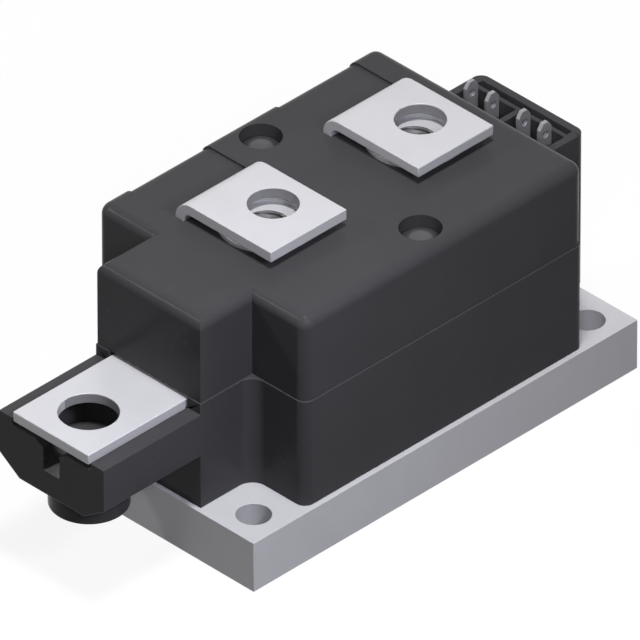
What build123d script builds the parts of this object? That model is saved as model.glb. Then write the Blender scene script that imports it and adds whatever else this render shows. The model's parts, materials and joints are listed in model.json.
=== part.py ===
from build123d import *
import math
import os

os.makedirs("parts", exist_ok=True)

# A thyristor module, in millimetres. +X runs from the side terminal to the gate header.
# The origin is the centre of the four mounting holes, on the underside of the base plate.

# Base plate
base_length = 92.0
base_width = 52.0
base_thickness = 10.0
mount_pitch_x = 80.0
mount_pitch_y = 40.0
mount_hole_d = 6.2
pin_socket_depth = 7.5

# Housing: the body, the front block on its -X side and the split between its two shells
body_centre_x = 0.65
body_length = 67.0
body_width = 50.0
body_corner_r = 2.0
block_length = 12.25
block_width = 25.0
block_fillet_r = 3.0
lower_height = 21.45
cover_height = 16.75
cover_step = 0.22
cover_edge_r = 2.2
wall = 2.0
roof = 2.5

# Round-headed pins that hold the cover and the housing on the base plate, each in a sunk hole
pin_inset = 6.0
pin_d = 4.0
pin_hole_d = 4.4
pin_engagement = 6.5
head_d = 7.0
head_rim = 0.8
head_dome = 1.4
head_hole_d = 7.5
head_depth = 1.05
boss_wall = 1.4
boss_web = 4.8
sunk_wall = 1.75

# Flat terminals of copper strip and their nuts
strap_width = 18.0
strap_thickness = 2.0
strap_bend_r = 1.75
foot_bend_r = 0.5
strap_clearance = 0.3
terminal_pitch = 35.1
terminal_hole_d = 8.9
terminal_hole_shift = 1.55
terminal_reach = 10.0
terminal_rise = 1.5
leg_face_y = 12.8
leg_width = 12.0
leg_shoulder_drop = 6.0
recess_depth = 0.5

# Round flanged nuts under the two top terminals, M8, with a raised rim and sunk in the cover by the seat
nut_across_flats = 13.0
nut_bore_d = 6.8
nut_chamfer = 0.73
nut_clearance = 0.3
nut_float = 1.3
hexagon_height = 5.8
flange_d = 16.7
flange_thickness = 1.4
flange_seat = 0.7
flange_clearance = 0.15
rim_inner_d = 13.7
rim_height = 0.75
cup_wall = 1.6
cup_floor = 1.5
screw_tip_d = 9.2
screw_tip_depth = 5.5

# Side terminal and the bracket of the lower housing under it
side_reach = 22.95
side_hole_d = 10.45
side_hole_from_end = 8.95
side_drop = 0.71
bracket_length = 22.85
bracket_drop = 2.21
bracket_side_height = 8.46
bracket_chamfer_y = 4.8
bracket_chamfer_z = 3.28
channel_width = 18.8
channel_depth = 1.34
side_nut_height = 5.0
side_nut_chamfer = 0.5
side_pocket_width = 17.6
side_floor = 1.6
cup_d = 14.0
cup_height = 5.1
front_slot_width = 3.8
front_slot_sill = 3.0
front_slot_flare = 1.9
front_slot_flare_height = 1.1

# Gate header on the +X side of the lower housing
header_length = 12.85
header_width = 25.0
header_height = 31.2
header_lift = 0.6
header_corner_r = 1.9
header_side_wall = 1.55
header_back_wall = 1.85
header_outer_wall = 1.5
header_inner_wall = 0.9
header_rib = 1.2
header_pocket_depth = 8.0
key_slot_width = 1.3
key_slot_length = 21.4
header_floor = 3.0
duct_height = 8.8
duct_width = 20.5
shelf = 2.0

# Flat tabs, 2.8 by 0.8
tab_width = 2.8
tab_thickness = 0.8
tab_rise = 3.3
tab_chamfer = 1.2
tab_chamfer_in = 0.84
tab_hole_d = 1.3
tab_hole_below_tip = 2.4
tab_first_y = 3.75
tab_spacing = 5.0
tab_setback = 2.6
tail_width = 1.2
tail_length = 4.8

# Circuit on the base plate
plate_gap = 1.6
plate_clearance = 0.7
plate_thickness = 0.8
pad_margin = 1.0
pad_thickness = 1.0
disc_d = 18.0
disc_thickness = 1.0
chip_d = 16.5
chip_thickness = 0.4
chip_y = -3.75
foot_gap = 0.5
middle_foot_end_y = -10.0
bridge_width = 12.0
bridge_thickness = 1.5
bridge_bend_r = 1.0
bridge_end = 9.0
bridge_step = 2.0
gate_hole_d = 4.0
lead_d = 1.0
lead_bend_r = 1.2
lead_drop = 2.0
cathode_lead_y = 4.0

# Fillings of the lower housing
gel_height = 8.0
resin_height = 9.5

# Levels
base_top = base_thickness
parting_z = base_top + lower_height
cover_top = parting_z + cover_height
roof_z = cover_top - roof
plate_top = base_top + plate_thickness
pad_top = plate_top + pad_thickness
disc_top = pad_top + disc_thickness
chip_top = disc_top + chip_thickness
pin_seat_z = cover_top - head_depth - head_dome - head_rim
header_bottom = base_top + header_lift
header_top = header_bottom + header_height
pocket_floor_z = header_top - header_pocket_depth
side_top = parting_z - side_drop
side_bottom = side_top - strap_thickness
bracket_top = parting_z - bracket_drop
bracket_floor = bracket_top - bracket_side_height - bracket_chamfer_z
channel_z = bracket_top - channel_depth
side_nut_z = bracket_floor + side_floor
gel_top = base_top + gel_height
resin_top = gel_top + resin_height
terminal_z = cover_top + terminal_rise
flange_floor_z = cover_top - flange_seat
flange_top_z = flange_floor_z + flange_thickness
nut_floor_z = flange_floor_z - hexagon_height - nut_clearance

# Places along and across
body_left = body_centre_x - body_length / 2
body_right = body_centre_x + body_length / 2
block_left = body_left - block_length
cavity_half_width = body_width / 2 - wall
pin_y = body_width / 2 - pin_inset
boss_r = pin_hole_d / 2 + boss_wall
bracket_left = block_left - bracket_length
side_end = block_left - side_reach
side_hole_x = side_end + side_hole_from_end
header_right = body_right + header_length
key_slot_right = header_right - header_outer_wall
key_slot_left = key_slot_right - key_slot_width
pocket_right = key_slot_left - header_inner_wall
pocket_left = body_right + header_back_wall
pocket_width = (header_width - header_rib) / 2 - header_side_wall
pocket_y = (header_rib + pocket_width) / 2
tab_x = pocket_right - tab_setback
plate_length = (body_length - 2 * wall - plate_gap) / 2 - plate_clearance
plate_width = 2 * (pin_y - boss_r - plate_clearance)
plate_x = [body_centre_x + side * (plate_length + plate_gap) / 2 for side in (-1, 1)]
terminal_x = [body_centre_x + side * terminal_pitch / 2 for side in (-1, 1)]
leg_y = leg_face_y - strap_thickness / 2
tab_ys = [y * side for y in (tab_first_y, tab_first_y + tab_spacing) for side in (-1, 1)]
slot_width = strap_width + 2 * strap_clearance
nut_pocket = nut_across_flats + nut_clearance
duct_bottom = pocket_floor_z - header_floor - duct_height
duct_length = pocket_right - body_right + wall
cup_r = nut_pocket / 2 / math.cos(math.pi / 6) + nut_float / 2 + cup_wall
pad_ends = [(x - plate_length / 2 + pad_margin, x + plate_length / 2 - pad_margin) for x in plate_x]


def corners(x, y):
    """The sketch's corners at this x, at +y and -y."""
    return vertices().filter_by(lambda v: abs(v.X - x) < 0.01 and abs(abs(v.Y) - y) < 0.01)


def body_and_block(inset):
    """The body and its front block from above, drawn inset from the outside of the lower housing."""
    with Locations((body_centre_x, 0)):
        Rectangle(body_length - 2 * inset, body_width - 2 * inset)
    with Locations((block_left + inset, 0)):
        Rectangle(block_length + wall, block_width - 2 * inset, align=(Align.MIN, Align.CENTER))
    if inset < wall:
        outer = corners(body_left + inset, body_width / 2 - inset)
        fillet(outer + corners(body_right - inset, body_width / 2 - inset), radius=body_corner_r)


def pin_bosses(mode):
    """The two pin bosses of the lower housing, each with a web to the side wall."""
    web_length = cavity_half_width - pin_y + wall / 2
    for side in (-1, 1):
        with Locations((body_centre_x, side * pin_y)):
            Circle(boss_r, mode=mode)
        with Locations((body_centre_x, side * (pin_y + web_length / 2))):
            Rectangle(boss_web, web_length, mode=mode)


def cavity():
    """The inside of the lower housing from above, around the pin bosses."""
    body_and_block(wall)
    pin_bosses(Mode.SUBTRACT)


def strip(points, radii, thickness):
    """The section of a bent strip along its centre line."""
    with BuildLine():
        bend = FilletPolyline(*points, radius=radii)
    trace(bend, line_width=thickness)


with BuildPart() as base_plate:
    with BuildSketch():
        Rectangle(base_length, base_width)
        with GridLocations(mount_pitch_x, mount_pitch_y, 2, 2):
            Circle(mount_hole_d / 2, mode=Mode.SUBTRACT)
    extrude(amount=base_thickness)
    with BuildSketch(Plane.XY.offset(base_top)):
        with Locations((body_centre_x, -pin_y), (body_centre_x, pin_y)):
            Circle(pin_d / 2)
    extrude(amount=-pin_socket_depth, mode=Mode.SUBTRACT)
base_plate.part.label = "base_plate"
export_step(base_plate.part, "parts/base_plate.step")

with BuildPart() as lower_housing:
    with BuildSketch(Plane.XY.offset(base_top)):
        body_and_block(0)
        fillet(corners(body_left, block_width / 2), radius=block_fillet_r)
    extrude(amount=lower_height)

    # Bracket: a chamfered beam with a cup under the side nut
    half = block_width / 2
    shoulder_z = bracket_top - bracket_side_height
    with BuildSketch(Plane.YZ.offset(bracket_left)):
        with BuildLine():
            Polyline(
                (-half, bracket_top),
                (half, bracket_top),
                (half, shoulder_z),
                (half - bracket_chamfer_y, bracket_floor),
                (bracket_chamfer_y - half, bracket_floor),
                (-half, shoulder_z),
                close=True,
            )
        make_face()
    extrude(amount=bracket_length)
    with BuildSketch(Plane.XY.offset(side_nut_z)):
        with Locations((side_hole_x, 0)):
            Circle(cup_d / 2)
    extrude(amount=bracket_floor - cup_height - side_nut_z)

    # Gate header
    with BuildSketch(Plane.XY.offset(header_bottom)):
        with Locations((body_right, 0)):
            Rectangle(header_length, header_width, align=(Align.MIN, Align.CENTER))
        fillet(corners(header_right, header_width / 2), radius=header_corner_r)
    extrude(amount=header_height)

    # Cavity and pin bosses
    with BuildSketch(Plane.XY.offset(base_top)):
        cavity()
    extrude(amount=lower_height, mode=Mode.SUBTRACT)
    with BuildSketch(Plane.XY.offset(base_top)):
        with Locations((body_centre_x, -pin_y), (body_centre_x, pin_y)):
            Circle(pin_hole_d / 2)
    extrude(amount=lower_height, mode=Mode.SUBTRACT)

    # Slot for the side terminal, the channel under it and the nut's pocket
    with BuildSketch(Plane.XY.offset(side_bottom)):
        with Locations((block_left, 0)):
            Rectangle(wall, slot_width, align=(Align.MIN, Align.CENTER))
    extrude(amount=parting_z - side_bottom, mode=Mode.SUBTRACT)
    with BuildSketch(Plane.XY.offset(bracket_top)):
        with Locations((bracket_left, 0)):
            Rectangle(bracket_length, channel_width, align=(Align.MIN, Align.CENTER))
    extrude(amount=-channel_depth, mode=Mode.SUBTRACT)
    with BuildSketch(Plane.XY.offset(bracket_top)):
        with Locations((side_hole_x, 0)):
            Rectangle(nut_pocket, side_pocket_width)
    extrude(amount=side_nut_z - bracket_top, mode=Mode.SUBTRACT)
    with BuildSketch(Plane.XY.offset(side_nut_z)):
        with Locations((side_hole_x, 0)):
            Circle(screw_tip_d / 2)
    extrude(amount=bracket_floor - cup_height - side_nut_z + side_floor, mode=Mode.SUBTRACT)

    # Flared slot in the bracket's front wall, with a ramp up to the top of the side nut
    slot_half = front_slot_width / 2
    sill_z = side_nut_z + front_slot_sill
    ramp_z = side_nut_z + side_nut_height
    slot_end = side_hole_x - nut_pocket / 2
    with BuildSketch(Plane.XZ):
        with BuildLine():
            Polyline(
                (bracket_left, sill_z),
                (slot_end, ramp_z),
                (slot_end, channel_z),
                (bracket_left, channel_z),
                close=True,
            )
        make_face()
    extrude(amount=slot_half, both=True, mode=Mode.SUBTRACT)
    with BuildSketch(Plane.YZ.offset(bracket_left)):
        with BuildLine():
            Polyline(
                (slot_half, channel_z - front_slot_flare_height),
                (slot_half + front_slot_flare, channel_z),
                (-slot_half - front_slot_flare, channel_z),
                (-slot_half, channel_z - front_slot_flare_height),
                close=True,
            )
        make_face()
    extrude(amount=slot_end - bracket_left, mode=Mode.SUBTRACT)

    # Header: two pockets for the tabs, the key slot, the duct for the leads and the core below it
    with BuildSketch(Plane.XY.offset(header_top)):
        for side in (-1, 1):
            with Locations((pocket_left, side * pocket_y)):
                Rectangle(pocket_right - pocket_left, pocket_width, align=(Align.MIN, Align.CENTER))
        with Locations((key_slot_left, 0)):
            Rectangle(key_slot_width, key_slot_length, align=(Align.MIN, Align.CENTER))
    extrude(amount=-header_pocket_depth, mode=Mode.SUBTRACT)
    with BuildSketch(Plane.XY.offset(duct_bottom)):
        with Locations((body_right - wall, 0)):
            Rectangle(duct_length, duct_width, align=(Align.MIN, Align.CENTER))
    extrude(amount=duct_height, mode=Mode.SUBTRACT)
    with BuildSketch(Plane.XY.offset(header_bottom)):
        with Locations((pocket_left, 0)):
            Rectangle(key_slot_right - pocket_left, key_slot_length, align=(Align.MIN, Align.CENTER))
    extrude(amount=duct_bottom - shelf - header_bottom, mode=Mode.SUBTRACT)

    # Seats of the four tabs in the pocket floors
    with BuildSketch(Plane.XY.offset(duct_bottom + duct_height)):
        with Locations(*[(tab_x, y) for y in tab_ys]):
            Rectangle(tab_width, tab_thickness)
    extrude(amount=header_floor, mode=Mode.SUBTRACT)
lower_housing.part.label = "lower_housing"
export_step(lower_housing.part, "parts/lower_housing.step")

# What the recesses behind the two top terminals take off the cover: its outside, lowered there
leg_slot_front = leg_face_y - strap_thickness - strap_clearance
with BuildPart() as lowered_outside:
    with BuildSketch(Plane.XY.offset(parting_z)):
        body_and_block(cover_step)
    extrude(amount=cover_height - recess_depth)
    fillet(edges().group_by(Axis.Z)[-1], radius=cover_edge_r)
with BuildPart() as recesses:
    with BuildSketch(Plane.XY.offset(cover_top)):
        with Locations(*[(x, leg_slot_front) for x in terminal_x]):
            recess = (slot_width, body_width / 2 - leg_slot_front)
            Rectangle(*recess, align=(Align.CENTER, Align.MIN))
    extrude(amount=-cover_edge_r - recess_depth)
    add(lowered_outside.part, mode=Mode.SUBTRACT)

with BuildPart() as upper_cover:
    with BuildSketch(Plane.XY.offset(parting_z)):
        body_and_block(cover_step)
    extrude(amount=cover_height)
    fillet(edges().group_by(Axis.Z)[-1], radius=cover_edge_r)
    add(recesses.part, mode=Mode.SUBTRACT)
    with BuildSketch(Plane.XY.offset(parting_z)):
        body_and_block(wall)
    extrude(amount=cover_height - roof, mode=Mode.SUBTRACT)

    # Cups for the nuts, long enough for them to slide under the strips' holes, and bosses for the pins
    with BuildSketch(Plane.XY.offset(roof_z)):
        with Locations(*[(x + nut_float / 2, 0) for x in terminal_x]):
            Circle(cup_r)
    extrude(amount=nut_floor_z - screw_tip_depth - cup_floor - roof_z)
    with BuildSketch(Plane.XY.offset(parting_z)):
        with Locations((body_centre_x, -pin_y), (body_centre_x, pin_y)):
            Circle(head_hole_d / 2 + sunk_wall)
    extrude(amount=roof_z - parting_z)
    with BuildSketch(Plane.XY.offset(cover_top)):
        with Locations(*[(x + slide, 0) for x in terminal_x for slide in (0, nut_float)]):
            RegularPolygon(nut_pocket / 2, 6, major_radius=False)
    extrude(amount=nut_floor_z - cover_top, mode=Mode.SUBTRACT)
    with BuildSketch(Plane.XY.offset(cover_top)):
        with Locations(*[(x + nut_float / 2, 0) for x in terminal_x]):
            SlotCenterToCenter(nut_float, flange_d + 2 * flange_clearance)
    extrude(amount=-flange_seat, mode=Mode.SUBTRACT)
    with BuildSketch(Plane.XY.offset(nut_floor_z)):
        with Locations(*[(x + terminal_hole_shift, 0) for x in terminal_x]):
            Circle(screw_tip_d / 2)
    extrude(amount=-screw_tip_depth, mode=Mode.SUBTRACT)
    with BuildSketch(Plane.XY.offset(cover_top)):
        with Locations((body_centre_x, -pin_y), (body_centre_x, pin_y)):
            Circle(head_hole_d / 2)
    extrude(amount=pin_seat_z - cover_top, mode=Mode.SUBTRACT)
    with BuildSketch(Plane.XY.offset(parting_z)):
        with Locations((body_centre_x, -pin_y), (body_centre_x, pin_y)):
            Circle(pin_hole_d / 2)
    extrude(amount=pin_seat_z - parting_z, mode=Mode.SUBTRACT)

    # Slots for the legs of the two top terminals
    leg_slot = strap_thickness + 2 * strap_clearance
    with BuildSketch(Plane.XY.offset(cover_top)):
        with Locations(*[(x, leg_slot_front) for x in terminal_x]):
            Rectangle(slot_width, leg_slot, align=(Align.CENTER, Align.MIN))
    extrude(amount=-roof, mode=Mode.SUBTRACT)
upper_cover.part.label = "upper_cover"
export_step(upper_cover.part, "parts/upper_cover.step")

with BuildPart() as side_terminal:
    with BuildSketch(Plane.XZ):
        run_z = side_top - strap_thickness / 2
        foot_z = pad_top + strap_thickness / 2
        bend_x = pad_ends[0][0] + strap_thickness / 2 - foot_bend_r
        foot_x = plate_x[0] - disc_d / 2 - foot_gap
        points = [(side_end, run_z), (bend_x, run_z), (bend_x, foot_z), (foot_x, foot_z)]
        bends = [strap_bend_r + strap_thickness / 2, foot_bend_r + strap_thickness / 2]
        strip(points, bends, strap_thickness)
    extrude(amount=strap_width / 2, both=True)
    with BuildSketch(Plane.XY.offset(side_top)):
        with Locations((side_hole_x, 0)):
            Circle(side_hole_d / 2)
    extrude(amount=-strap_thickness, mode=Mode.SUBTRACT)
side_terminal.part.label = "side_terminal"
export_step(side_terminal.part, "parts/side_terminal.step")

# The two top terminals: the middle one stands on chip 1, the end one on copper pad 2
feet = [
    ("middle_terminal", chip_top, middle_foot_end_y),
    ("end_terminal", pad_top, chip_y + disc_d / 2 + foot_gap),
]
terminals = []
for (name, foot_floor, foot_end), x, centre_x in zip(feet, terminal_x, plate_x):
    with BuildPart() as terminal:
        top = (-terminal_reach, terminal_z + strap_thickness / 2)
        bend = (leg_y, terminal_z + strap_thickness / 2)
        foot_z = foot_floor + strap_thickness / 2
        shoulder_z = roof_z - leg_shoulder_drop
        bends = [strap_bend_r + strap_thickness / 2, foot_bend_r + strap_thickness / 2]
        with BuildSketch(Plane.YZ.offset(x)):
            strip([top, bend, (leg_y, shoulder_z)], bends[0], strap_thickness)
        extrude(amount=strap_width / 2, both=True)
        with BuildSketch(Plane.YZ.offset(centre_x)):
            strip([(leg_y, shoulder_z), (leg_y, foot_z), (foot_end, foot_z)], bends[1], strap_thickness)
        extrude(amount=leg_width / 2, both=True)
        with BuildSketch(Plane.XY.offset(terminal_z)):
            with Locations((x + terminal_hole_shift, 0)):
                Circle(terminal_hole_d / 2)
        extrude(amount=strap_thickness, mode=Mode.SUBTRACT)
        with BuildSketch(Plane.XY.offset(foot_floor)):
            with Locations((centre_x, chip_y)):
                Circle(gate_hole_d / 2)
        extrude(amount=strap_thickness, mode=Mode.SUBTRACT)
    terminal.part.label = name
    export_step(terminal.part, f"parts/{name}.step")
    terminals.append(terminal.part)

# Flanged nuts of the top terminals, hexagon down
for name, x in zip(("middle_nut", "end_nut"), terminal_x):
    with BuildPart() as flange_nut:
        with BuildSketch(Plane.XY.offset(flange_floor_z)):
            with Locations((x, 0)):
                Circle(flange_d / 2)
        extrude(amount=flange_thickness)
        with BuildSketch(Plane.XY.offset(flange_floor_z)):
            with Locations((x, 0)):
                RegularPolygon(nut_across_flats / 2, 6, major_radius=False)
        extrude(amount=-hexagon_height)
        with BuildSketch(Plane.XY.offset(flange_top_z)):
            with Locations((x, 0)):
                Circle(rim_inner_d / 2)
        extrude(amount=-rim_height, mode=Mode.SUBTRACT)
        with BuildSketch(Plane.XY.offset(flange_top_z)):
            with Locations((x, 0)):
                Circle(nut_bore_d / 2)
        extrude(amount=-flange_thickness - hexagon_height, mode=Mode.SUBTRACT)
        bore_rims = edges().filter_by(GeomType.CIRCLE).filter_by(lambda e: e.radius < rim_inner_d / 3)
        chamfer(bore_rims, length=nut_chamfer)
    flange_nut.part.label = name
    export_step(flange_nut.part, f"parts/{name}.step")

with BuildPart() as side_nut:
    with BuildSketch(Plane.XY.offset(side_nut_z)):
        with Locations((side_hole_x, 0)):
            RegularPolygon(nut_across_flats / 2, 6, major_radius=False, rotation=30)
            Circle(nut_bore_d / 2, mode=Mode.SUBTRACT)
    extrude(amount=side_nut_height)
    bore_rims = edges().filter_by(GeomType.CIRCLE)
    chamfer(bore_rims, length=side_nut_chamfer)
side_nut.part.label = "side_nut"
export_step(side_nut.part, "parts/side_nut.step")

with BuildPart() as cover_pins:
    head_r = head_d / 2
    head_z = pin_seat_z + head_rim
    crown_z = head_z + head_dome
    dome_r = (head_r**2 + head_dome**2) / (2 * head_dome)
    middle_z = crown_z - dome_r + (dome_r**2 - head_r**2 / 4) ** 0.5
    pin_end_z = base_top - pin_engagement
    for side in (-1, 1):
        with BuildSketch(Plane((body_centre_x, side * pin_y, 0), x_dir=(1, 0, 0), z_dir=(0, -1, 0))):
            with BuildLine():
                Polyline(
                    (0, crown_z),
                    (0, pin_end_z),
                    (pin_d / 2, pin_end_z),
                    (pin_d / 2, pin_seat_z),
                    (head_r, pin_seat_z),
                    (head_r, head_z),
                )
                ThreePointArc((head_r, head_z), (head_r / 2, middle_z), (0, crown_z))
            make_face()
        revolve(axis=Axis((body_centre_x, side * pin_y, 0), (0, 0, 1)))
cover_pins.part.label = "cover_pins"
export_step(cover_pins.part, "parts/cover_pins.step")

# Circuit: two ceramic plates, each with its copper pad, molybdenum disc and chip
stack = []
for number, x in enumerate(plate_x, start=1):
    with BuildPart() as ceramic_plate:
        with BuildSketch(Plane.XY.offset(base_top)):
            with Locations((x, 0)):
                Rectangle(plate_length, plate_width)
        extrude(amount=plate_thickness)
    with BuildPart() as copper_pad:
        with BuildSketch(Plane.XY.offset(plate_top)):
            with Locations((x, 0)):
                Rectangle(plate_length - 2 * pad_margin, plate_width - 2 * pad_margin)
        extrude(amount=pad_thickness)
    with BuildPart() as molybdenum_disc:
        with BuildSketch(Plane.XY.offset(pad_top)):
            with Locations((x, chip_y)):
                Circle(disc_d / 2)
        extrude(amount=disc_thickness)
    with BuildPart() as thyristor_chip:
        with BuildSketch(Plane.XY.offset(disc_top)):
            with Locations((x, chip_y)):
                Circle(chip_d / 2)
        extrude(amount=chip_thickness)
    layers = {
        "ceramic_plate": ceramic_plate,
        "copper_pad": copper_pad,
        "molybdenum_disc": molybdenum_disc,
        "thyristor_chip": thyristor_chip,
    }
    for name, layer in layers.items():
        layer.part.label = f"{name}_{number}"
        export_step(layer.part, f"parts/{name}_{number}.step")
        stack.append(layer.part)

# Bridge from the top of chip 2 down to copper pad 1
with BuildPart() as cathode_bridge:
    high_z = chip_top + bridge_thickness / 2
    low_z = pad_top + bridge_thickness / 2
    step_start = pad_ends[1][0] + bridge_step
    step_end = pad_ends[0][1] + bridge_step
    foot_x = plate_x[0] + disc_d / 2 + foot_gap
    with BuildSketch(Plane.XZ.offset(-chip_y)):
        points = [
            (plate_x[1] + bridge_end, high_z),
            (step_start, high_z),
            (step_end, low_z),
            (foot_x, low_z),
        ]
        strip(points, bridge_bend_r, bridge_thickness)
    extrude(amount=bridge_width / 2, both=True)
    with BuildSketch(Plane.XY.offset(chip_top)):
        with Locations((plate_x[1], chip_y)):
            Circle(gate_hole_d / 2)
    extrude(amount=bridge_thickness, mode=Mode.SUBTRACT)
cathode_bridge.part.label = "cathode_bridge"
export_step(cathode_bridge.part, "parts/cathode_bridge.step")

# Tabs in the header and the lead from each tab's tail to its chip
tail_z = duct_bottom + duct_height - tail_length
lead_z = tail_z - lead_drop
bridge_edge_y = chip_y + bridge_width / 2
circuits = [
    ("gate", 1, -tab_first_y - tab_spacing, plate_x[0], chip_y, chip_top),
    ("gate", 2, -tab_first_y, plate_x[1], chip_y, chip_top),
    ("cathode", 2, tab_first_y, plate_x[1], bridge_edge_y - lead_d, chip_top + bridge_thickness),
    ("cathode", 1, tab_first_y + tab_spacing, plate_x[0], cathode_lead_y, chip_top + strap_thickness),
]
wiring = []
for role, number, tab_y, end_x, end_y, end_z in circuits:
    with BuildPart() as tab:
        tip_z = header_top + tab_rise
        floor_z = pocket_floor_z - header_floor
        half = tab_width / 2
        tip = half - tab_chamfer_in
        with BuildSketch(Plane.XZ.offset(-tab_y)):
            with BuildLine():
                Polyline(
                    (tab_x - half, floor_z),
                    (tab_x - tail_width / 2, floor_z),
                    (tab_x - tail_width / 2, tail_z),
                    (tab_x + tail_width / 2, tail_z),
                    (tab_x + tail_width / 2, floor_z),
                    (tab_x + half, floor_z),
                    (tab_x + half, tip_z - tab_chamfer),
                    (tab_x + tip, tip_z),
                    (tab_x - tip, tip_z),
                    (tab_x - half, tip_z - tab_chamfer),
                    close=True,
                )
            make_face()
            with Locations((tab_x, tip_z - tab_hole_below_tip)):
                Circle(tab_hole_d / 2, mode=Mode.SUBTRACT)
        extrude(amount=tab_thickness / 2, both=True)
    tab.part.label = f"{role}_tab_{number}"
    export_step(tab.part, f"parts/{role}_tab_{number}.step")
    route = [(tab_x, tab_y, tail_z), (tab_x, tab_y, lead_z), (end_x, tab_y, lead_z)]
    if abs(end_y - tab_y) > lead_d / 2:
        route.append((end_x, end_y, lead_z))
    route.append((end_x, route[-1][1], end_z))
    with BuildPart() as lead:
        with BuildLine() as lead_path:
            FilletPolyline(*route, radius=lead_bend_r)
        with BuildSketch(Plane(origin=route[0], z_dir=(0, 0, -1))):
            Circle(lead_d / 2)
        sweep(path=lead_path.line)
    lead.part.label = f"{role}_lead_{number}"
    export_step(lead.part, f"parts/{role}_lead_{number}.step")
    wiring.extend([tab.part, lead.part])

# Soft gel over the chips, and the hard resin above it that also fills the header's duct
held = stack + wiring + terminals + [side_terminal.part, cathode_bridge.part]
with BuildPart() as silicone_gel:
    with BuildSketch(Plane.XY.offset(base_top)):
        cavity()
    extrude(amount=gel_height)
    for piece in held:
        add(piece, mode=Mode.SUBTRACT)
silicone_gel.part.label = "silicone_gel"
export_step(silicone_gel.part, "parts/silicone_gel.step")

with BuildPart() as potting_resin:
    with BuildSketch(Plane.XY.offset(gel_top)):
        cavity()
    extrude(amount=resin_height)
    with BuildSketch(Plane.XY.offset(duct_bottom)):
        with Locations((body_right - wall, 0)):
            Rectangle(duct_length, duct_width, align=(Align.MIN, Align.CENTER))
    extrude(amount=resin_top - duct_bottom)
    for piece in held:
        add(piece, mode=Mode.SUBTRACT)
potting_resin.part.label = "potting_resin"
export_step(potting_resin.part, "parts/potting_resin.step")
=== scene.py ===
"""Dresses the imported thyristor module: moulded shells, plated strips, threaded nuts, tabs and a studio."""

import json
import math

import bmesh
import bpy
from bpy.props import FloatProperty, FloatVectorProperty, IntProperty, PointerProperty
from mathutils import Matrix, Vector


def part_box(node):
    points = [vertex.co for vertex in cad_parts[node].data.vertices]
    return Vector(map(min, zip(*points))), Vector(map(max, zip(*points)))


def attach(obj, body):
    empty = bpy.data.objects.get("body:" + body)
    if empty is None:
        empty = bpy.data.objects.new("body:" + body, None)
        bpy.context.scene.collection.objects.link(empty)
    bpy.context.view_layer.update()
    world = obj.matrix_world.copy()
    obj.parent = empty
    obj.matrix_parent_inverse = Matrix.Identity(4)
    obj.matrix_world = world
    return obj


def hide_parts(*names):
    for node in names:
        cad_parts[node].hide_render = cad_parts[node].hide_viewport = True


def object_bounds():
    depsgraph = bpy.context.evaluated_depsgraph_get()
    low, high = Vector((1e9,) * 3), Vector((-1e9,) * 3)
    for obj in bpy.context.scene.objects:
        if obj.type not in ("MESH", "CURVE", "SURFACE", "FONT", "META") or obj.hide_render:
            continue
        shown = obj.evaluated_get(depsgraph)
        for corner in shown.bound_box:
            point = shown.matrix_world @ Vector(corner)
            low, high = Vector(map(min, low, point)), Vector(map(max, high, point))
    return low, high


bl_info = {
    "name": "Thyristor module dresser",
    "version": (1, 0, 0),
    "blender": (4, 5, 0),
    "location": "View3D > Sidebar > Module",
    "description": "Finishes the shells, plated metal, nuts, tabs and circuit of a thyristor module",
    "category": "Object",
}

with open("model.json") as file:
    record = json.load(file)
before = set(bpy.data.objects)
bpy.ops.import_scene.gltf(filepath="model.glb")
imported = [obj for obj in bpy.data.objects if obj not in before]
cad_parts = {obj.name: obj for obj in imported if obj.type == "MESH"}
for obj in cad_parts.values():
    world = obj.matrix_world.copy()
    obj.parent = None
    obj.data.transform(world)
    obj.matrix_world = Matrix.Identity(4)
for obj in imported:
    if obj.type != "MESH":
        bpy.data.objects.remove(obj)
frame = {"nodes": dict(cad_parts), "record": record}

CAD_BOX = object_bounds()
BODY = "root"
# Face attribute for painted shade: it marks the strips' hole walls and the nuts' threads, which get a darker
# colour
SHADE_MARK = "cut_metal"
WHITE = (1, 1, 1, 1)

# What a noise texture mostly stays between
NOISE_LOW = 0.3
NOISE_HIGH = 0.7

# How far the vertices of one corner may lie apart, and how far two faces of one plane may turn
SAME_PLACE = 1e-6
SAME_PLANE = math.radians(0.2)

# How far a hole's wall may lean, as its normal's height
WALL_LEAN = 0.3

# A thread's profile: the slope of its flanks, and how much of the wave its flat crest takes
FLANK_SLOPE = 1.25
CREST_FLAT = 0.12

# The chamfer on a hexagon's corners: where it starts, as a share of the inner radius, and its slope
CORNER_START = 0.97
CORNER_SLOPE = 0.55


def middle(node):
    """The middle of a CAD node's box."""
    low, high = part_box(node)
    return (low + high) / 2


def reach(node):
    """The size of a CAD node's box along X, Y and Z."""
    low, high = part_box(node)
    return high - low


def colour(name, text, value):
    return FloatVectorProperty(
        name=name, description=text, subtype="COLOR", size=3, min=0, max=1, default=value
    )


def position(name, text, value):
    return FloatVectorProperty(name=name, description=text, subtype="TRANSLATION", size=3, default=value)


def length(name, text, value):
    return FloatProperty(name=name, description=text, default=value, unit="LENGTH", precision=5)


def power(name, text, value):
    return FloatProperty(name=name, description=text, default=value, unit="POWER")


def number(name, text, value):
    return FloatProperty(name=name, description=text, default=value)


class HousingFinish(bpy.types.PropertyGroup):
    """The moulded plastic of the two shells."""

    plastic: colour("Plastic", "Colour of the moulded plastic", (0.055, 0.055, 0.058))
    roughness: number("Roughness", "Roughness of the moulded skin", 0.24)
    gloss: number("Gloss", "How much light the moulded skin throws back", 0.045)
    grain: length("Grain", "Size of the moulded skin's grain", 0.00035)
    grain_depth: length("Grain depth", "Depth of the grain", 0.000012)
    edge: length("Edge", "Radius on the shells' sharp edges", 0.00016)


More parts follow.
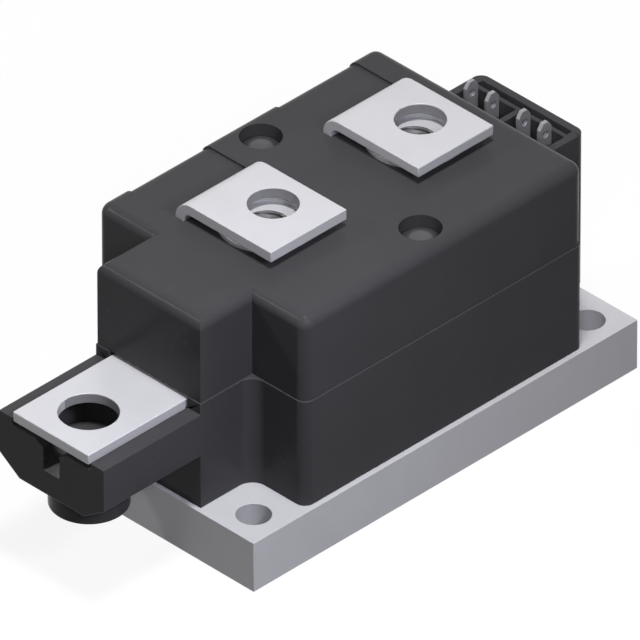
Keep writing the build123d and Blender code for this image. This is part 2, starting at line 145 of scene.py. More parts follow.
class MetalFinish(bpy.types.PropertyGroup):
    """The plated base plate, the tinned strips and tabs, the nuts and the pins."""

    nickel: colour("Nickel", "Colour of the plated base plate", (0.55, 0.55, 0.57))
    tin: colour("Tin", "Colour of the tinned strips", (0.55, 0.55, 0.57))
    zinc: colour("Zinc", "Colour of the top nuts", (0.55, 0.55, 0.57))
    # Painted shade: a dark colour on the nuts' threads, for the shade inside the bore
    thread_shade: colour("Painted thread shade", "Colour inside the top nuts' threads", (0.09, 0.09, 0.095))
    # Painted shade: a darker colour on the walls of the strips' holes, for the shade inside them
    shaded_wall: colour("Painted wall shade", "Colour of the walls of the strips' punched holes", (0.28, 0.28, 0.29))
    # Painted shade: the tabs' tin is a darker copy of the strips' tin, for the shade on their faces
    tab_tin: colour("Shaded tab tin", "Colour of the push-on tabs", (0.30, 0.30, 0.315))
    metallic: number("Metallic", "How far the matt plating mirrors as bare metal does", 0.05)
    black_steel: colour("Black steel", "Colour of the side nut and the pins", (0.055, 0.055, 0.058))
    brush: length("Brush", "Spacing of the rolled lines on the metal", 0.00022)
    brush_depth: length("Brush depth", "Depth of the rolled lines", 0.000004)
    edge: length("Edge", "Radius on the metal's sharp edges", 0.00018)
    pin_edge: length("Pin edge", "Radius on the pins' sharp edges", 0.0001)


class ThreadSizes(bpy.types.PropertyGroup):
    """The threads of the three nuts."""

    pitch: length("Pitch", "Distance from one turn to the next", 0.00125)
    crest: length("Crest radius", "Inner radius of the thread", 0.0034)
    root: length("Root radius", "Outer radius of the thread", 0.0040)
    mouth: length("Mouth radius", "Radius of the chamfer at the thread's two ends", 0.00413)
    steps: IntProperty(name="Steps", description="Faces round a nut", default=96)
    rows: IntProperty(name="Rows", description="Rows of faces in one turn of the thread", default=8)


class FlangeSizes(bpy.types.PropertyGroup):
    """The round flanges of the two top nuts."""

    seat: length("Seat", "How deep a flange lies in the cover", 0.0007)
    rim_in: length("Rim inner radius", "Inner radius of a flange's raised rim", 0.00685)
    rim: length("Rim", "Height of the raised rim above the nut's face", 0.00075)
    ease: length("Eased edge", "Radius on a flange's edges", 0.00012)


class TabSizes(bpy.types.PropertyGroup):
    """The four push-on tabs, which are one blade repeated."""

    width: length("Width", "Width of a blade", reach("gate_tab_1").x)
    thickness: length("Thickness", "Thickness of a blade", reach("gate_tab_1").y)
    first: length("First", "Distance of the inner blades from the middle", -middle("gate_tab_2").y)
    spacing: length(
        "Spacing",
        "Distance from an inner to an outer blade",
        middle("gate_tab_2").y - middle("gate_tab_1").y,
    )
    shoulder: length("Shoulder", "Height of the sloped shoulders", 0.0012)
    shoulder_in: length("Shoulder in", "How far each shoulder slopes in", 0.00084)
    eye: length("Eye", "Radius of the hole in a blade", 0.00065)
    eye_drop: length("Eye drop", "Distance of the hole below the tip", 0.0024)
    eye_steps: IntProperty(name="Eye steps", description="Faces round the hole in a blade", default=24)
    tail: length("Tail", "Width of a blade's tail", 0.0012)
    tail_length: length("Tail length", "Length of a blade's tail", 0.0048)
    coined: length("Coined edge", "Radius on a blade's edges", 0.00007)


class StudioSizes(bpy.types.PropertyGroup):
    """The camera, the lamps and the floor."""

    lens: number("Lens", "Focal length in millimetres", 1500.0)
    half_view: length("Half view", "Half of what the frame takes in, at the object", 0.05392)
    aim: position("Aim", "The point the camera looks at", (-0.01213, -0.00789, 0.03))
    floor: colour("Floor", "Colour of the floor as it lights the object", (0.10, 0.10, 0.105))
    floor_half: length("Half floor", "Half the width of the floor", 30.0)
    floor_gap: length("Floor gap", "How far the floor lies below the base plate", 0.00005)
    shade: number("Shade", "How much of the object's shadow the floor shows", 0.12)
    sky: number("Sky", "Strength of the even light from all sides", 0.04)
    sky_tint: colour("Sky tint", "Colour of the even light", (0.97, 0.98, 1))
    overhead: power("Overhead", "Power of the lamp above", 2.8)
    overhead_width: length("Overhead width", "Width of the lamp above", 0.12)
    overhead_place: position("Overhead place", "Place of the lamp above", (-0.07, -0.10, 0.62))
    front: power("Front", "Power of the lamp at the front left", 0.066)
    front_width: length("Front width", "Width of the lamp at the front left", 0.04)
    front_place: position("Front place", "Place of the lamp at the front left", (-0.055, -0.155, 0.155))
    front_aim: position("Front aim", "What the lamp at the front left faces", (-0.07, -0.01, 0.03))
    front_tint: colour("Front tint", "Colour of the lamp at the front left", (0.86, 0.86, 1.0))
    front_spread: FloatProperty(
        name="Front spread",
        description="How widely the lamp at the front left throws its light",
        subtype="ANGLE",
        default=math.radians(100),
    )
    eye: power("Eye", "Power of the lamp on the camera's side", 0.50)
    eye_width: length("Eye width", "Width of the lamp on the camera's side", 0.08)
    eye_place: position("Eye place", "Place of the eye lamp, counted from the aim", (-0.40, -0.40, 0.40))
    left: power("Left", "Power of the lamp on the far left", 0.50)
    left_width: length("Left width", "Width of the lamp on the far left", 0.05)
    left_place: position("Left place", "Place of the left lamp, counted from the aim", (-0.35, 0.35, 0.35))
    back: power("Back", "Power of the low lamp behind the object", 0.80)
    back_width: length("Back width", "Width of the low lamp behind the object", 0.15)
    back_place: position("Back place", "Place of the back lamp, counted from the aim", (0.36, 0.36, 0.12))


class ShaderSheet:
    """Makes and links the shader nodes of one material, or of the world."""

    def __init__(self, name, world=None):
        self.material = world or bpy.data.materials.new(name)
        self.material.use_nodes = True
        self.tree = self.material.node_tree
        self.tree.nodes.clear()
        self.output = self.node("ShaderNodeOutputWorld" if world else "ShaderNodeOutputMaterial")
        self.place = self.node("ShaderNodeTexCoord").outputs["Object"]

    def node(self, kind, **inputs):
        made = self.tree.nodes.new(kind)
        for socket, value in inputs.items():
            self.feed(made.inputs[socket.replace("_", " ")], value)
        return made

    def feed(self, socket, value):
        if isinstance(value, bpy.types.NodeSocket):
            self.tree.links.new(value, socket)
        else:
            socket.default_value = value

    def noise(self, size, detail=2.0, stretch=(1, 1, 1), rough=0.5):
        """Noise whose features are about this size, drawn out along an axis by a small stretch value."""
        mapping = self.node("ShaderNodeMapping", Vector=self.place, Scale=stretch)
        return self.node(
            "ShaderNodeTexNoise", Vector=mapping.outputs[0], Scale=1 / size, Detail=detail, Roughness=rough
        ).outputs["Fac"]

    def vary(self, value, centre, by):
        """Turns noise into a range that reaches this far on both sides of the centre."""
        span = self.node("ShaderNodeMapRange", Value=value)
        span.inputs["From Min"].default_value = NOISE_LOW
        span.inputs["From Max"].default_value = NOISE_HIGH
        span.inputs["To Min"].default_value = centre - by
        span.inputs["To Max"].default_value = centre + by
        return span.outputs["Result"]

    def shade(self, value, base, by):
        """The base colour made darker and lighter by this share, as the value goes."""
        mix = self.tree.nodes.new("ShaderNodeMix")
        mix.data_type = "RGBA"
        mix.blend_type = "MULTIPLY"
        mix.inputs["Factor"].default_value = 1.0
        mix.inputs["A"].default_value = (*base, 1)
        self.feed(mix.inputs["B"], self.vary(value, 1.0, by))
        return mix.outputs["Result"]

    def where(self, attribute, plain, marked):
        """The plain colour, and the marked one on faces whose attribute is 1."""
        mark = self.node("ShaderNodeAttribute")
        mark.attribute_name = attribute
        mix = self.tree.nodes.new("ShaderNodeMix")
        mix.data_type = "RGBA"
        self.feed(mix.inputs["Factor"], mark.outputs["Fac"])
        self.feed(mix.inputs["A"], plain)
        mix.inputs["B"].default_value = (*marked, 1)
        return mix.outputs["Result"]

    def bump(self, height, depth):
        return self.node("ShaderNodeBump", Height=height, Distance=depth, Strength=1.0).outputs["Normal"]

    def finish(self, **inputs):
        shader = self.node("ShaderNodeBsdfPrincipled", **inputs)
        self.tree.links.new(shader.outputs["BSDF"], self.output.inputs["Surface"])
        return self.material


def moulded_plastic(name, skin):
    """Black moulded plastic: an eroded mould's fine grain, a cloudy colour and flow marks in its gloss."""
    sheet = ShaderSheet(name)
    clouds = sheet.noise(size=0.009, detail=3.0)
    grain = sheet.noise(skin.grain, detail=3.0, rough=0.6)
    flow = sheet.noise(size=0.004, stretch=(0.3, 1, 1))
    return sheet.finish(
        Base_Color=sheet.shade(clouds, skin.plastic, by=0.04),
        Roughness=sheet.vary(flow, skin.roughness, by=0.04),
        Specular_IOR_Level=skin.gloss,
        Normal=sheet.bump(grain, skin.grain_depth),
    )


def plated_metal(name, look, base, roughness, along=(0.03, 1, 1), cut_or_shade=None):
    """Matt plated metal: rolled lines along one axis, cloudy plating, speckled gloss, and painted shade in a
    darker colour on the marked faces.
    """
    sheet = ShaderSheet(name)
    lines = sheet.noise(look.brush, stretch=along)
    clouds = sheet.noise(size=0.006, detail=3.0)
    specks = sheet.noise(size=0.0007)
    plating = sheet.shade(clouds, base, by=0.02)
    # Painted shade: the marked faces take the darker colour
    if cut_or_shade:
        plating = sheet.where(SHADE_MARK, plating, cut_or_shade)
    return sheet.finish(
        Base_Color=plating,
        Metallic=look.metallic,
        Roughness=sheet.vary(specks, roughness, by=0.05),
        Normal=sheet.bump(lines, look.brush_depth),
    )


def plain_surface(name, base, roughness, metallic=0.0, mottle=0.0015, depth=0.000004):
    """A surface with faint mottling, for black steel and the parts inside the module."""
    sheet = ShaderSheet(name)
    clouds = sheet.noise(mottle, detail=3.0)
    return sheet.finish(
        Base_Color=sheet.shade(clouds, base, by=0.1),
        Metallic=metallic,
        Roughness=roughness,
        Normal=sheet.bump(clouds, depth),
    )


def gel_filling(name, base, roughness):
    """Silicone gel, as a pale smooth filling with a slow ripple."""
    sheet = ShaderSheet(name)
    ripple = sheet.noise(size=0.004)
    return sheet.finish(
        Base_Color=(*base, 1),
        Roughness=roughness,
        Normal=sheet.bump(ripple, depth=0.00002),
    )


def make_object(name, mesh, material):
    made = bpy.data.objects.new(name, mesh)
    bpy.context.scene.collection.objects.link(made)
    mesh.materials.clear()
    mesh.materials.append(material)
    return made


def smooth(mesh, angle=35.0):
    """Smooth shading, with creases where faces turn by more than the angle."""
    mesh.polygons.foreach_set("use_smooth", [True] * len(mesh.polygons))
    mesh.set_sharp_from_angle(angle=math.radians(angle))


def ease_edges(piece, radius, crease=40.0):
    """Rounds a piece's sharp edges, and keeps its flat faces flat to the light."""
    bevel = piece.modifiers.new("Eased edges", "BEVEL")
    bevel.width = radius
    bevel.segments = 2
    bevel.limit_method = "ANGLE"
    bevel.angle_limit = math.radians(crease)
    bevel.miter_outer = "MITER_ARC"
    flats = piece.modifiers.new("Flat faces", "WEIGHTED_NORMAL")
    flats.mode = "FACE_AREA"
    flats.weight = 100
    flats.keep_sharp = True


def settle(piece, name, *nodes, slot):
    """Turns a piece with its modifiers into a plain mesh that stands for its CAD nodes."""
    bpy.context.view_layer.update()
    evaluated = piece.evaluated_get(bpy.context.evaluated_depsgraph_get())
    mesh = bpy.data.meshes.new_from_object(evaluated)
    mesh.name = name
    material = mesh.materials[0]
    bpy.data.objects.remove(piece)
    made = make_object(name, mesh, material)
    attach(made, BODY)
    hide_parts(*nodes)


def mark_shaded_wall(shape, mount):
    """Marks the wall of the hole that a mount of the record names, where painted shade goes."""
    hole = next(entry for entry in frame["record"]["mounts"] if entry["name"] == mount)
    axis = Vector((*hole["pos_m"][:2], 0))
    layer = shape.faces.layers.float.new(SHADE_MARK)
    for face in shape.faces:
        across = face.calc_center_median() * Vector((1, 1, 0)) - axis
        face[layer] = float(across.length < hole["dims"]["r_mm"] / 1000 and abs(face.normal.z) < WALL_LEAN)


def eased_copy(node, name, material, radius, slot, hole=None):
    """Copies a CAD node, merges its triangles, marks the named hole's wall for painted shade and rounds its
    edges.
    """
    shape = bmesh.new()
    shape.from_mesh(frame["nodes"][node].data)
    bmesh.ops.remove_doubles(shape, verts=shape.verts, dist=SAME_PLACE)
    bmesh.ops.dissolve_limit(
        shape, angle_limit=SAME_PLANE, verts=shape.verts, edges=shape.edges, delimit={"NORMAL"}
    )
    if hole:
        mark_shaded_wall(shape, hole)
    mesh = bpy.data.meshes.new(name)
    shape.to_mesh(mesh)
    shape.free()
    smooth(mesh)
    piece = make_object(name + "_blank", mesh, material)
    ease_edges(piece, radius)
    settle(piece, name, node, slot=slot)


def paint(node, material):
    """Gives a CAD node its finish."""
    piece = frame["nodes"][node]
    if not piece.material_slots:
        piece.data.materials.append(material)
    for slot in piece.material_slots:
        slot.material = material


class MODULE_OT_shells(bpy.types.Operator):
    """Finish the lower housing and the upper cover"""

    bl_idname = "module.shells"
    bl_label = "Moulded shells"

    def execute(self, context):
        skin = context.scene.housing_finish
        plastic = moulded_plastic("Moulded plastic", skin)
        for node in ("lower_housing", "upper_cover"):
            eased_copy(node, node + "_shell", plastic, skin.edge, "housing_plastic")
        return {"FINISHED"}


class MODULE_OT_plate(bpy.types.Operator):
    """Finish the plated base plate"""

    bl_idname = "module.plate"
    bl_label = "Base plate"

    def execute(self, context):
        look = context.scene.metal_finish
        nickel = plated_metal("Nickel plate", look, look.nickel, roughness=0.42)
        eased_copy("base_plate", "plated_base", nickel, look.edge, "nickel_copper")
        return {"FINISHED"}


class MODULE_OT_strips(bpy.types.Operator):
    """Finish the three flat terminals"""

    bl_idname = "module.strips"
    bl_label = "Flat terminals"

    def execute(self, context):
        look = context.scene.metal_finish
        # The walls of the strips' holes get painted shade
        lengthwise = plated_metal("Tinned strip", look, look.tin, roughness=0.40, cut_or_shade=look.shaded_wall)
        across = plated_metal(
            "Tinned strip across", look, look.tin, roughness=0.40, along=(1, 0.03, 0.03), cut_or_shade=look.shaded_wall
        )
        for node in ("side_terminal", "middle_terminal", "end_terminal"):
            tin = lengthwise if node == "side_terminal" else across
            name = node.replace("terminal", "strip")
            eased_copy(node, name, tin, look.edge, "tinned_copper", hole=node + "_hole")
        return {"FINISHED"}


def hexagon(angle, flats):
    """The radius of a hexagon at an angle, measured from the middle of a flat."""
    sixth = math.pi / 3
    turn = (angle + sixth / 2) % sixth - sixth / 2
    return flats / 2 / math.cos(turn)


def ring_mesh(name, profiles):
    """Joins the sections round an axis into one closed mesh."""
    shape = bmesh.new()
    rings = [[shape.verts.new(point) for point in section] for section in profiles]
    count = len(rings[0])
    for i, ring in enumerate(rings):
        following = rings[(i + 1) % len(rings)]
        for j in range(count):
            k = (j + 1) % count
            shape.faces.new((ring[j], ring[k], following[k], following[j]))
    bmesh.ops.recalc_face_normals(shape, faces=shape.faces)
    mesh = bpy.data.meshes.new(name)
    shape.to_mesh(mesh)
    shape.free()
    return mesh


def thread_rows(sizes, low, face):
    """How many rows of faces a thread has along its axis."""
    return math.ceil((face - low) / sizes.pitch * sizes.rows)


def mark_thread(mesh, steps, rows):
    """Marks the thread's faces, which come first in each section round a nut, for painted shade."""
    section = len(mesh.polygons) // steps
    marks = [float(i % section < rows) for i in range(len(mesh.polygons))]
    mesh.attributes.new(SHADE_MARK, "FLOAT", "FACE").data.foreach_set("value", marks)


def nut_sections(sizes, low, high, flats, turn, flange):
    """The sections of a hexagon nut with a real thread; flange is its outline outside the face, or None."""
    sections = []
    face = flange[0][1] if flange else high
    rows = thread_rows(sizes, low, face)
    chamfer = sizes.mouth - sizes.crest
    corner_start = flats / 2 * CORNER_START
    for i in range(sizes.steps):
        angle = 2 * math.pi * i / sizes.steps
        flat_r = hexagon(angle - turn, flats)
        corner_drop = (flat_r - corner_start) * CORNER_SLOPE
        line = []
        for row in range(rows + 1):
            z = low + (face - low) * row / rows
            wave = abs(((z / sizes.pitch - i / sizes.steps) % 1) * 2 - 1)
            cut_or_shade = min(1, max(0, FLANK_SLOPE * wave - CREST_FLAT))
            r = sizes.crest + (sizes.root - sizes.crest) * cut_or_shade
            mouth = max(low + chamfer - z, z - face + chamfer, 0)
            line.append((max(r, sizes.crest + mouth), z))
        if flange:
            line += flange
            line += [(flat_r, flange[-1][1])]
        else:
            line += [(corner_start, high), (flat_r, high - corner_drop)]
        line += [(flat_r, low + corner_drop), (corner_start, low)]
        sections.append([(r * math.cos(angle), r * math.sin(angle), z) for r, z in line])
    return sections


class MODULE_OT_nuts(bpy.types.Operator):
    """Make the three nuts with their threads"""

    bl_idname = "module.nuts"
    bl_label = "Nuts"

    def execute(self, context):
        sizes = context.scene.thread_sizes
        look = context.scene.metal_finish
        # The threads inside the top nuts get painted shade
        zinc = plated_metal("Zinc plate", look, look.zinc, roughness=0.38, along=(1, 1, 0.2), cut_or_shade=look.thread_shade)
        black = plain_surface("Black oxide", look.black_steel, roughness=0.45, mottle=0.0006)
        low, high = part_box("side_nut")
        flats = min(reach("side_nut").x, reach("side_nut").y)
        turn = 0 if reach("side_nut").x < reach("side_nut").y else math.pi / 6
        thin = ring_mesh("side_thread_nut", nut_sections(sizes, low.z, high.z, flats, turn, None))
        centre = Vector((middle("side_nut").x, middle("side_nut").y, 0))
        for vertex in thin.vertices:
            vertex.co += centre
        smooth(thin)
        made = make_object("side_thread_nut", thin, black)
        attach(made, BODY)
        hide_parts("side_nut")

        low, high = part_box("middle_nut")
        rim = context.scene.flange_sizes
        outer = reach("middle_nut").x / 2
        seat_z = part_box("upper_cover")[1].z - rim.seat
        flange = [
            (rim.rim_in, high.z - rim.rim),
            (rim.rim_in, high.z - rim.ease),
            (rim.rim_in + rim.ease, high.z),
            (outer - rim.ease, high.z),
            (outer, high.z - rim.ease),
            (outer, seat_z + rim.ease),
            (outer - rim.ease, seat_z),
        ]
        blank = ring_mesh("flange_nut", nut_sections(sizes, low.z, high.z, flats, math.pi / 6, flange))
        mark_thread(blank, sizes.steps, thread_rows(sizes, low.z, high.z - rim.rim))
        smooth(blank)
        nut = make_object("flange_nut_blank", blank, zinc)
        start = middle("middle_nut").x
        tree = repeat_tree("Nuts along the cover", zinc)
        add_tree(nut, tree, Start=(start, 0, 0), Step=(middle("end_nut").x - start, 0, 0), Count=2)
        settle(nut, "flange_nuts", "middle_nut", "end_nut", slot="zinc_steel")
        return {"FINISHED"}


def add_socket(tree, name, kind, direction="INPUT"):
    tree.interface.new_socket(name=name, in_out=direction, socket_type=kind)


def repeat_tree(name, material):
    """A tree that repeats its geometry along a line, by a start, a step and a count."""
    tree = bpy.data.node_groups.new(name, "GeometryNodeTree")
    add_socket(tree, "Geometry", "NodeSocketGeometry")
    add_socket(tree, "Start", "NodeSocketVector")
    add_socket(tree, "Step", "NodeSocketVector")
    add_socket(tree, "Count", "NodeSocketInt")
    add_socket(tree, "Geometry", "NodeSocketGeometry", "OUTPUT")
    source = tree.nodes.new("NodeGroupInput")
    line = tree.nodes.new("GeometryNodeMeshLine")
    copies = tree.nodes.new("GeometryNodeInstanceOnPoints")
    solid = tree.nodes.new("GeometryNodeRealizeInstances")
    finish = tree.nodes.new("GeometryNodeSetMaterial")
    result = tree.nodes.new("NodeGroupOutput")
    finish.inputs["Material"].default_value = material
    link = tree.links.new
    link(source.outputs["Start"], line.inputs["Start Location"])
    link(source.outputs["Step"], line.inputs["Offset"])
    link(source.outputs["Count"], line.inputs["Count"])
    link(line.outputs["Mesh"], copies.inputs["Points"])
    link(source.outputs["Geometry"], copies.inputs["Instance"])
    link(copies.outputs["Instances"], solid.inputs["Geometry"])
    link(solid.outputs["Geometry"], finish.inputs["Geometry"])
    link(finish.outputs["Geometry"], result.inputs["Geometry"])
    return tree


def mirror_tree(name, material):
    """A tree that repeats its geometry along Y on both sides of the middle, from First by Spacing."""
    tree = bpy.data.node_groups.new(name, "GeometryNodeTree")
    add_socket(tree, "Geometry", "NodeSocketGeometry")
    add_socket(tree, "First", "NodeSocketFloat")
    add_socket(tree, "Spacing", "NodeSocketFloat")
    add_socket(tree, "Each side", "NodeSocketInt")
    add_socket(tree, "Geometry", "NodeSocketGeometry", "OUTPUT")
    source = tree.nodes.new("NodeGroupInput")
    both = tree.nodes.new("GeometryNodeJoinGeometry")
    copies = tree.nodes.new("GeometryNodeInstanceOnPoints")
    solid = tree.nodes.new("GeometryNodeRealizeInstances")
    finish = tree.nodes.new("GeometryNodeSetMaterial")
    result = tree.nodes.new("NodeGroupOutput")
    finish.inputs["Material"].default_value = material
    link = tree.links.new
    for side in (-1, 1):
        line = tree.nodes.new("GeometryNodeMeshLine")
        for size, socket in (("First", "Start Location"), ("Spacing", "Offset")):
            signed = tree.nodes.new("ShaderNodeMath")
            signed.operation = "MULTIPLY"
            signed.inputs[1].default_value = side
            along = tree.nodes.new("ShaderNodeCombineXYZ")
            link(source.outputs[size], signed.inputs[0])
            link(signed.outputs[0], along.inputs["Y"])
            link(along.outputs[0], line.inputs[socket])
        link(source.outputs["Each side"], line.inputs["Count"])
        link(line.outputs["Mesh"], both.inputs["Geometry"])
    link(both.outputs["Geometry"], copies.inputs["Points"])
    link(source.outputs["Geometry"], copies.inputs["Instance"])
    link(copies.outputs["Instances"], solid.inputs["Geometry"])
    link(solid.outputs["Geometry"], finish.inputs["Geometry"])
    link(finish.outputs["Geometry"], result.inputs["Geometry"])
    return tree


def add_tree(piece, tree, **values):
    """Adds a tree to a piece and sets its inputs by their sockets' identifiers."""
    modifier = piece.modifiers.new(tree.name, "NODES")
    modifier.node_group = tree
    for item in tree.interface.items_tree:
        key = item.name.replace(" ", "_")
        if item.in_out == "INPUT" and key in values:
            modifier[item.identifier] = values[key]


def blade_mesh(sizes, x, low, high):
    """One push-on blade at y = 0: sloped shoulders, an eye and a narrow tail."""
    half = sizes.width / 2
    tail = sizes.tail / 2
    neck = low + sizes.tail_length
    eye_z = high - sizes.eye_drop
    outline = [
        (tail, low),
        (tail, neck),
        (half, neck),
        (half, high - sizes.shoulder),
        (half - sizes.shoulder_in, high),
    ]
    outline += [(-across, z) for across, z in reversed(outline)]
    shape = bmesh.new()
    rim = [shape.verts.new((x + across, 0, z)) for across, z in outline]
    edges = [shape.edges.new((rim[i], rim[(i + 1) % len(rim)])) for i in range(len(rim))]
    around = sizes.eye_steps
    turn = [2 * math.pi * i / around for i in range(around)]
    eye = [shape.verts.new((x + sizes.eye * math.cos(a), 0, eye_z + sizes.eye * math.sin(a))) for a in turn]
    edges += [shape.edges.new((eye[i], eye[(i + 1) % around])) for i in range(around)]
    bmesh.ops.triangle_fill(shape, edges=edges, use_beauty=True, use_dissolve=False)
    bmesh.ops.recalc_face_normals(shape, faces=shape.faces)
    mesh = bpy.data.meshes.new("blade")
    shape.to_mesh(mesh)
    shape.free()
    return mesh


class MODULE_OT_tabs(bpy.types.Operator):
    """Make the four push-on tabs"""

    bl_idname = "module.tabs"
    bl_label = "Push-on tabs"

    def execute(self, context):
        sizes = context.scene.tab_sizes
        look = context.scene.metal_finish
        # The tabs get a darker copy of the tin as painted shade
        tin = plated_metal("Tinned tab", look, look.tab_tin, roughness=0.34, along=(1, 1, 0.05))
        low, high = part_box("gate_tab_1")
        blade = make_object("blade", blade_mesh(sizes, middle("gate_tab_1").x, low.z, high.z), tin)
        thick = blade.modifiers.new("Thickness", "SOLIDIFY")
        thick.thickness = sizes.thickness
        thick.offset = 0
        ease_edges(blade, sizes.coined)
        tree = mirror_tree("Tabs in the header", tin)
        add_tree(blade, tree, First=sizes.first, Spacing=sizes.spacing, Each_side=2)
        tabs = ("gate_tab_1", "gate_tab_2", "cathode_tab_1", "cathode_tab_2")
        settle(blade, "push_on_tabs", *tabs, slot="tinned_brass")
        return {"FINISHED"}


class MODULE_OT_pins(bpy.types.Operator):
    """Finish the two round-headed pins in the cover"""

    bl_idname = "module.pins"
    bl_label = "Cover pins"

    def execute(self, context):
        look = context.scene.metal_finish
        black = plain_surface("Black pin", look.black_steel, roughness=0.30, mottle=0.0009)
        eased_copy("cover_pins", "cover_pin_pair", black, look.pin_edge, "black_steel")
        return {"FINISHED"}


class MODULE_OT_circuit(bpy.types.Operator):
    """Finish the plates, discs, chips, bridge, leads and fillings inside"""

    bl_idname = "module.circuit"
    bl_label = "Circuit and fillings"

    def execute(self, context):
        finishes = {
            "ceramic_plate": plain_surface("Alumina", (0.82, 0.82, 0.79), roughness=0.55, depth=0.000002),
            "copper_pad": plain_surface("Bare copper", (0.80, 0.45, 0.31), roughness=0.38, metallic=1.0),
            "molybdenum_disc": plain_surface("Molybdenum", (0.42, 0.42, 0.44), roughness=0.42, metallic=1.0),
            "thyristor_chip": plain_surface(
                "Silicon", (0.10, 0.10, 0.14), roughness=0.22, metallic=0.3, depth=0.000001
            ),
        }
        for kind, material in finishes.items():
            for number in (1, 2):
                paint(f"{kind}_{number}", material)
        paint("cathode_bridge", finishes["copper_pad"])
        sleeve = plain_surface("Silicone sleeve", (0.72, 0.68, 0.58), roughness=0.6)
        for role in ("gate", "cathode"):
            for number in (1, 2):
                paint(f"{role}_lead_{number}", sleeve)
        paint("silicone_gel", gel_filling("Silicone gel", (0.80, 0.80, 0.77), roughness=0.12))
        resin = plain_surface("Potting resin", (0.03, 0.03, 0.032), roughness=0.3, mottle=0.003)
        paint("potting_resin", resin)
        return {"FINISHED"}


def lamp(name, place, width, watts, aim):
    """A square soft lamp that faces the aim."""
    data = bpy.data.lights.new(name, "AREA")
    data.size = width
    data.energy = watts
    made = bpy.data.objects.new(name, data)
    bpy.context.scene.collection.objects.link(made)
    made.location = place
    made.rotation_euler = (aim - place).to_track_quat("-Z", "Y").to_euler()
    made.visible_camera = False
    return made


def seen_directly(sheet):
    """1 for what the eye sees straight, in a gloss or through a clear thing, and 0 for scattered light."""
    path = sheet.node("ShaderNodeLightPath")
    total = path.outputs["Is Camera Ray"]
    for ray in ("Is Glossy Ray", "Is Transmission Ray"):
        adder = sheet.node("ShaderNodeMath")
        adder.operation = "MAXIMUM"
        sheet.tree.links.new(total, adder.inputs[0])
        sheet.tree.links.new(path.outputs[ray], adder.inputs[1])
        total = adder.outputs[0]
    return total


def floor_material(colour_lit, shade):
    """A pale floor: white to the eye, with the object's soft shadow kept on it."""
    sheet = ShaderSheet("Pale floor")
    lit = sheet.node("ShaderNodeBsdfDiffuse", Color=(*colour_lit, 1))
    shadowed = sheet.node("ShaderNodeBsdfDiffuse", Color=WHITE)
    white = sheet.node("ShaderNodeEmission", Color=WHITE, Strength=1.0)
    view = sheet.node("ShaderNodeMixShader", Fac=1 - shade)
    pick = sheet.node("ShaderNodeMixShader", Fac=seen_directly(sheet))
    link = sheet.tree.links.new
    link(shadowed.outputs[0], view.inputs[1])
    link(white.outputs[0], view.inputs[2])
    link(lit.outputs[0], pick.inputs[1])
    link(view.outputs[0], pick.inputs[2])
    link(pick.outputs[0], sheet.output.inputs["Surface"])
    return sheet.material


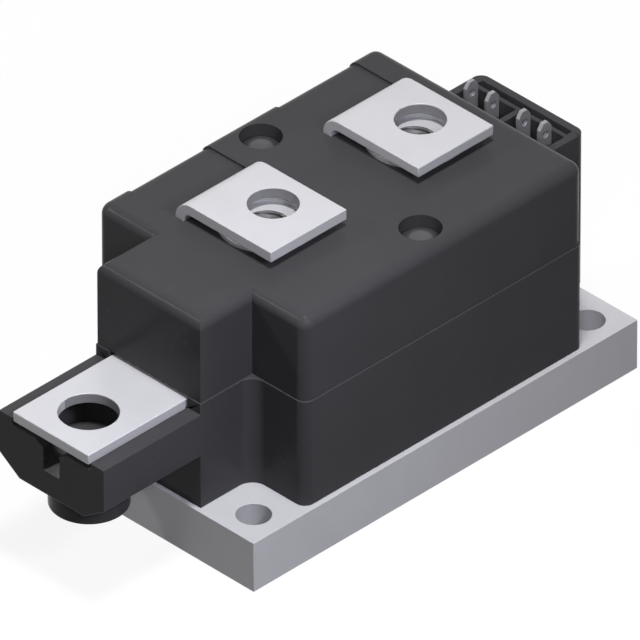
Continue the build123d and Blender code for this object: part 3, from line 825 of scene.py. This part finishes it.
class MODULE_OT_stage(bpy.types.Operator):
    """Make the floor, the lamps, the world and the camera"""

    bl_idname = "module.stage"
    bl_label = "Studio"

    def execute(self, context):
        scene = context.scene
        studio = scene.studio_sizes
        aim = Vector(studio.aim)

        shape = bmesh.new()
        bmesh.ops.create_grid(shape, x_segments=1, y_segments=1, size=studio.floor_half)
        mesh = bpy.data.meshes.new("floor")
        shape.to_mesh(mesh)
        shape.free()
        floor = make_object("floor", mesh, floor_material(studio.floor, studio.shade))
        mesh.transform(Matrix.Translation((0, 0, CAD_BOX[0][2] - studio.floor_gap)))

        scene.world = bpy.data.worlds.new("Studio light")
        sheet = ShaderSheet("Studio light", scene.world)
        lit = sheet.node("ShaderNodeBackground", Color=(*studio.sky_tint, 1), Strength=studio.sky)
        white = sheet.node("ShaderNodeBackground", Color=WHITE, Strength=1.0)
        pick = sheet.node("ShaderNodeMixShader", Fac=seen_directly(sheet))
        sheet.tree.links.new(lit.outputs[0], pick.inputs[1])
        sheet.tree.links.new(white.outputs[0], pick.inputs[2])
        sheet.tree.links.new(pick.outputs[0], sheet.output.inputs["Surface"])

        lamp("Overhead lamp", Vector(studio.overhead_place), studio.overhead_width, studio.overhead, aim)
        front_aim = Vector(studio.front_aim)
        front = lamp("Front lamp", Vector(studio.front_place), studio.front_width, studio.front, front_aim)
        front.data.color = studio.front_tint
        front.data.spread = studio.front_spread
        lamp("Eye lamp", aim + Vector(studio.eye_place), studio.eye_width, studio.eye, aim)
        lamp("Left lamp", aim + Vector(studio.left_place), studio.left_width, studio.left, aim)
        back = lamp("Back lamp", aim + Vector(studio.back_place), studio.back_width, studio.back, aim)
        back.visible_glossy = False

        scene.view_settings.view_transform = "Standard"
        data = bpy.data.cameras.new("Camera")
        data.lens = studio.lens
        data.sensor_width = 36.0
        data.clip_start = 0.1
        data.clip_end = 60.0
        camera = bpy.data.objects.new("Camera", data)
        scene.collection.objects.link(camera)
        towards = Vector((1, 1, -1)).normalized()
        distance = studio.half_view * studio.lens / (data.sensor_width / 2)
        camera.location = aim - towards * distance
        camera.rotation_euler = towards.to_track_quat("-Z", "Y").to_euler()
        scene.camera = camera
        return {"FINISHED"}


STEPS = (
    MODULE_OT_stage,
    MODULE_OT_plate,
    MODULE_OT_shells,
    MODULE_OT_strips,
    MODULE_OT_nuts,
    MODULE_OT_pins,
    MODULE_OT_tabs,
    MODULE_OT_circuit,
)


class MODULE_PT_pieces(bpy.types.Panel):
    """Lists the module's pieces and the studio"""

    bl_idname = "MODULE_PT_pieces"
    bl_label = "Thyristor module"
    bl_space_type = "VIEW_3D"
    bl_region_type = "UI"
    bl_category = "Module"

    def draw(self, context):
        for step in STEPS:
            self.layout.operator(step.bl_idname)
        for group in GROUPS:
            column = self.layout.column(align=True)
            for name in GROUPS[group].__annotations__:
                column.prop(getattr(context.scene, group), name)


GROUPS = {
    "housing_finish": HousingFinish,
    "metal_finish": MetalFinish,
    "thread_sizes": ThreadSizes,
    "flange_sizes": FlangeSizes,
    "tab_sizes": TabSizes,
    "studio_sizes": StudioSizes,
}


def register():
    for name, group in GROUPS.items():
        bpy.utils.register_class(group)
        setattr(bpy.types.Scene, name, PointerProperty(type=group))
    for step in STEPS:
        bpy.utils.register_class(step)
    bpy.utils.register_class(MODULE_PT_pieces)


def unregister():
    bpy.utils.unregister_class(MODULE_PT_pieces)
    for step in reversed(STEPS):
        bpy.utils.unregister_class(step)
    for name, group in GROUPS.items():
        delattr(bpy.types.Scene, name)
        bpy.utils.unregister_class(group)


def main():
    register()
    for step in STEPS:
        category, name = step.bl_idname.split(".")
        getattr(getattr(bpy.ops, category), name)()


if __name__ == "__main__":
    main()
